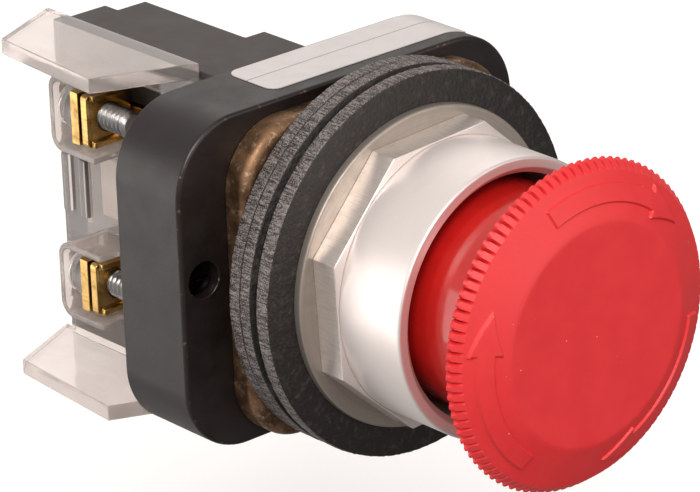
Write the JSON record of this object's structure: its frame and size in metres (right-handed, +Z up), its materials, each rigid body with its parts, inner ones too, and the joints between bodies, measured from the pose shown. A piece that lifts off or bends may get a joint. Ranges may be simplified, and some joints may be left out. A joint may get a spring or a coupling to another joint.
{
  "type": "emergency stop button",
  "caption": "Panel-mounted emergency stop button: push-to-lock, twist-to-release mushroom head in a ring nut with a guard collar, square operator housing and a rear contact block.",
  "frame": {"origin": "centre of the panel seat, the front face of the mounting flange, on the operator's axis", "axes": "-Y towards the mushroom head (front), +Z up (label side), +X to the right seen from the front"},
  "size_m": [0.0528, 0.0857, 0.0476],
  "materials": {
    "block_black": "fine moulded grain",
    "bronze_casting": "yellow-brown chromate over die casting",
    "bush_bronze": "sintered",
    "clamp_brass": "bright, tarnished in places",
    "clear_cover": "clear, moulded",
    "contact_brass": "bright",
    "gasket_rubber": "matt, cut edges",
    "head_red": "fine matt grain, moulded",
    "housing_black": "fine moulded grain",
    "label_white": "printed film",
    "neck_red": "polished",
    "plunger_white": "natural nylon",
    "satin_aluminium": "turned, satin",
    "screw_steel": "zinc plated",
    "sleeve_zinc": "die cast",
    "spacer_rubber": "matt",
    "spring_steel": "bright wire",
    "stem_steel": "machined",
    "washer_zinc": "dull zinc plate"
  },
  "bodies": {
    "operator": {"mounting_bushing": "bronze_casting", "stem_bush": "bush_bronze", "latch_sleeve": "sleeve_zinc", "stem_retainer": "washer_zinc", "stem_seal": "gasket_rubber", "rear_gasket": "gasket_rubber", "middle_gasket": "gasket_rubber", "gasket_spacer": "spacer_rubber", "front_gasket": "gasket_rubber", "thrust_washer": "washer_zinc", "ring_nut": "satin_aluminium", "operator_housing": "housing_black", "housing_cover": "housing_black", "housing_screws": "screw_steel", "label_plate": "label_white", "block_base": "block_black", "block_cover": "clear_cover", "block_screws": "screw_steel", "upper_contact_strip": "contact_brass", "lower_contact_strip": "contact_brass", "return_spring": "spring_steel", "plunger_spring": "spring_steel"},
    "actuator": {"actuator_plate": "sleeve_zinc"},
    "head": {"mushroom_head": "head_red", "head_neck": "neck_red", "operator_stem": "stem_steel", "latch_pin": "stem_steel", "stem_clip": "spring_steel"},
    "plunger": {"contact_plunger": "plunger_white", "contact_bridge": "contact_brass", "contact_spring": "spring_steel"},
    "upper_screw": {"upper_terminal_screw": "screw_steel"},
    "upper_clamp": {"upper_terminal_clamp": "clamp_brass"},
    "lower_screw": {"lower_terminal_screw": "screw_steel"},
    "lower_clamp": {"lower_terminal_clamp": "clamp_brass"}
  },
  "joints": [
    {"name": "head_push", "type": "slide", "parent": "operator", "child": "actuator", "axis": [0, 1, 0], "range_m": [0, 0.005], "deforming": ["return_spring", "plunger_spring"]},
    {"name": "head_twist", "type": "hinge", "parent": "actuator", "child": "head", "pos_m": [0, 0, 0], "axis": [0, 1, 0], "range_deg": [0, 45], "stiffness_Nm_per_rad": 0.03},
    {"name": "plunger_slide", "type": "slide", "parent": "operator", "child": "plunger", "axis": [0, 1, 0], "range_m": [0, 0.005]},
    {"name": "upper_screw_turn", "type": "hinge", "parent": "operator", "child": "upper_screw", "pos_m": [-0.0143, 0.0362, 0.0122], "axis": [0, 1, 0], "range_deg": [0, 1080]},
    {"name": "upper_clamp_slide", "type": "slide", "parent": "operator", "child": "upper_clamp", "axis": [0, -1, 0], "range_m": [0, 0.0024]},
    {"name": "lower_screw_turn", "type": "hinge", "parent": "operator", "child": "lower_screw", "pos_m": [-0.0143, 0.0362, -0.0098], "axis": [0, 1, 0], "range_deg": [0, 1080]},
    {"name": "lower_clamp_slide", "type": "slide", "parent": "operator", "child": "lower_clamp", "axis": [0, -1, 0], "range_m": [0, 0.0024]}
  ],
  "couplings": [
    {"joint": "plunger_slide", "follows": "head_push", "ratio": 1},
    {"joint": "upper_screw_turn", "follows": "upper_clamp_slide", "rad_per_m": 7854},
    {"joint": "lower_screw_turn", "follows": "lower_clamp_slide", "rad_per_m": 7854}
  ]
}
